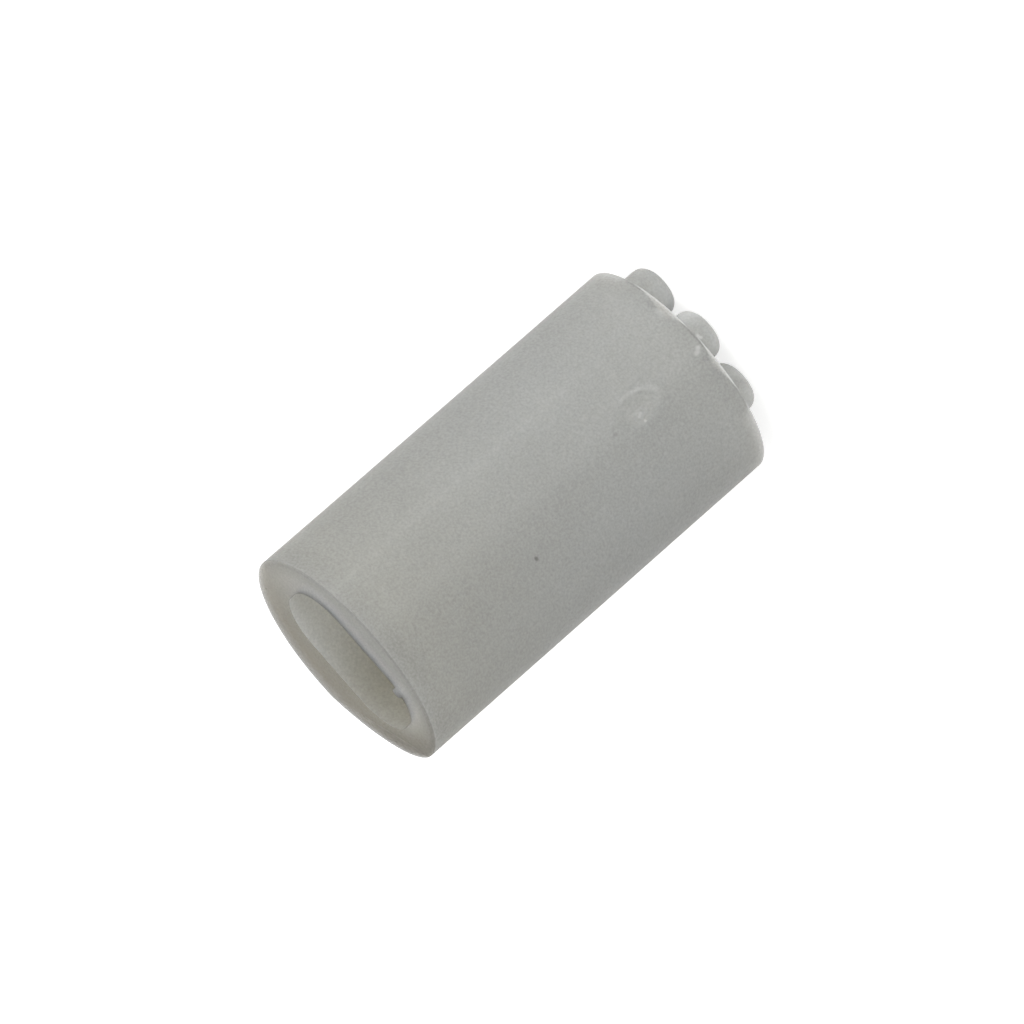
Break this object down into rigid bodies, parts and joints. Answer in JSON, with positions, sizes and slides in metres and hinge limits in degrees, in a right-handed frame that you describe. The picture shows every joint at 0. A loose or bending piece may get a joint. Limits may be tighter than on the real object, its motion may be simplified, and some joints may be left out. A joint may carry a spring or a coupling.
{
  "type": "led spacer sleeve",
  "caption": "Round moulded plastic sleeve with a slotted through bore for two leads, a flat seat at one end and small round-tipped stand-off feet at the other.",
  "frame": {"origin": "on the sleeve's axis, level with the tip of the tallest foot", "axes": "+Z along the sleeve from the feet to the open seat, X along the long way of the slot bore, -Y towards the gate mark"},
  "size_m": [0.005, 0.005, 0.0095],
  "materials": {
    "natural_nylon": "satin, milky and slightly translucent, undyed nylon"
  },
  "bodies": {
    "root": {"sleeve": "natural_nylon"}
  },
  "joints": []
}
